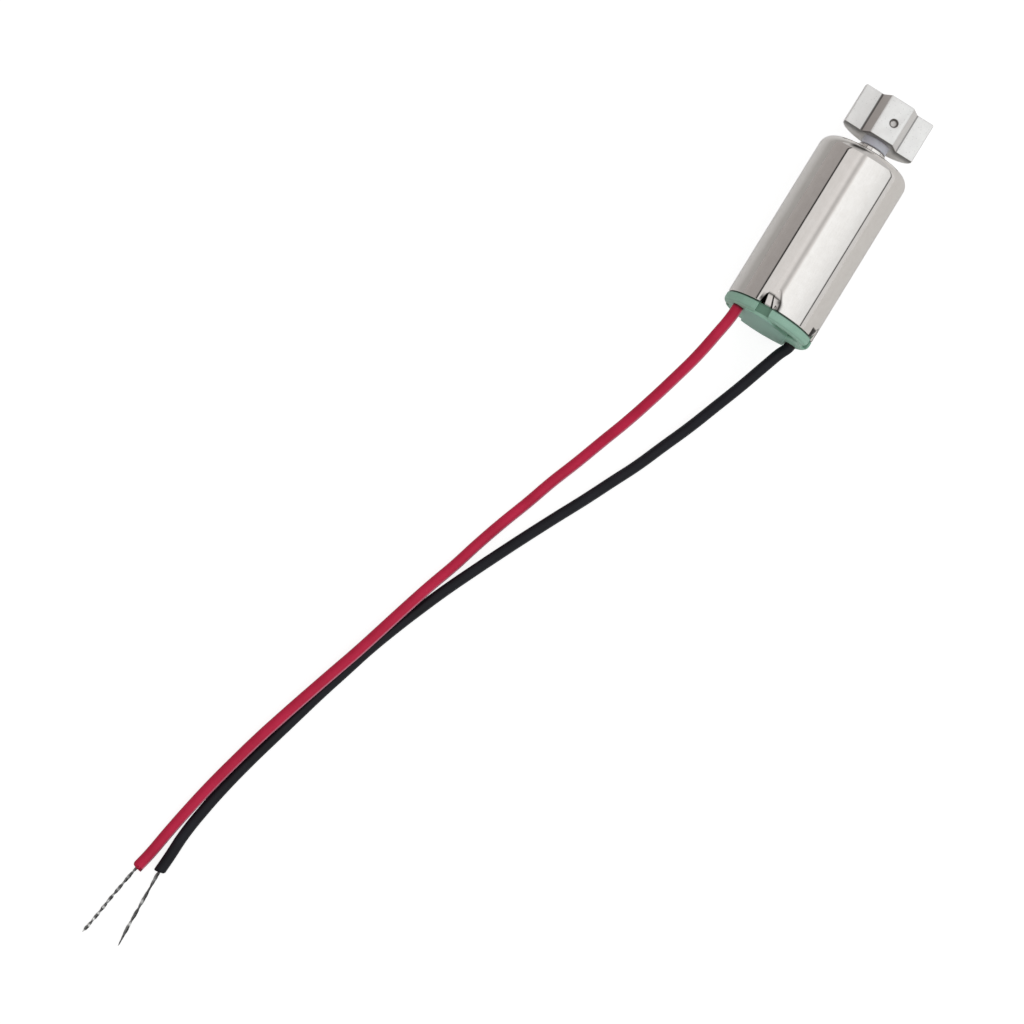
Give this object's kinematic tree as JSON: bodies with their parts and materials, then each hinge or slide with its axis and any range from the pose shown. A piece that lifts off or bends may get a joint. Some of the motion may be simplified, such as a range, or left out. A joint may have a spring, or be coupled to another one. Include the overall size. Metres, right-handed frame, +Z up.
{
  "type": "cylindrical vibration motor",
  "caption": "Small cylindrical coreless motor with an eccentric counterweight on its shaft and two bare-ended leads, which shakes what it is fixed to.",
  "frame": {"origin": "on the surface that the motor lies on, under the middle of the motor without its leads", "axes": "+X along the shaft from the lead end to the counterweight, +Z up"},
  "size_m": [0.0692, 0.0193, 0.006],
  "materials": {
    "nickel_can": "gloss",
    "green_moulding": "satin",
    "steel": "satin",
    "bronze": "satin",
    "magnet": "satin",
    "shaft_steel": "gloss",
    "white_moulding": "satin",
    "brown_moulding": "satin",
    "copper": "gloss",
    "enamelled_copper": "gloss",
    "solder": "gloss",
    "spacer_moulding": "satin",
    "tungsten": "satin",
    "terminal_brass": "gloss",
    "brush_alloy": "gloss",
    "red_insulation": "satin",
    "black_insulation": "satin",
    "tinned_copper": "gloss"
  },
  "bodies": {
    "motor_body": {"can": "nickel_can", "end_cap": "green_moulding", "bearing_sleeve": "steel", "front_bearing": "bronze", "rear_bearing": "bronze", "magnet": "magnet", "red_terminal": "terminal_brass", "black_terminal": "terminal_brass", "red_brush": "brush_alloy", "black_brush": "brush_alloy", "red_solder_joint": "solder", "black_solder_joint": "solder", "red_lead": "red_insulation", "black_lead": "black_insulation", "red_lead_strands": "tinned_copper", "black_lead_strands": "tinned_copper"},
    "rotor": {"shaft": "shaft_steel", "rear_thrust_washer": "white_moulding", "commutator_hub": "brown_moulding", "commutator_segments": "copper", "coil_winding": "enamelled_copper", "coil_tap_joints": "solder", "spacer": "spacer_moulding", "counterweight": "tungsten"}
  },
  "joints": [
    {"name": "shaft_spin", "type": "hinge", "parent": "motor_body", "child": "rotor", "pos_m": [0, 0, 0.003], "axis": [1, 0, 0], "continuous": true}
  ]
}
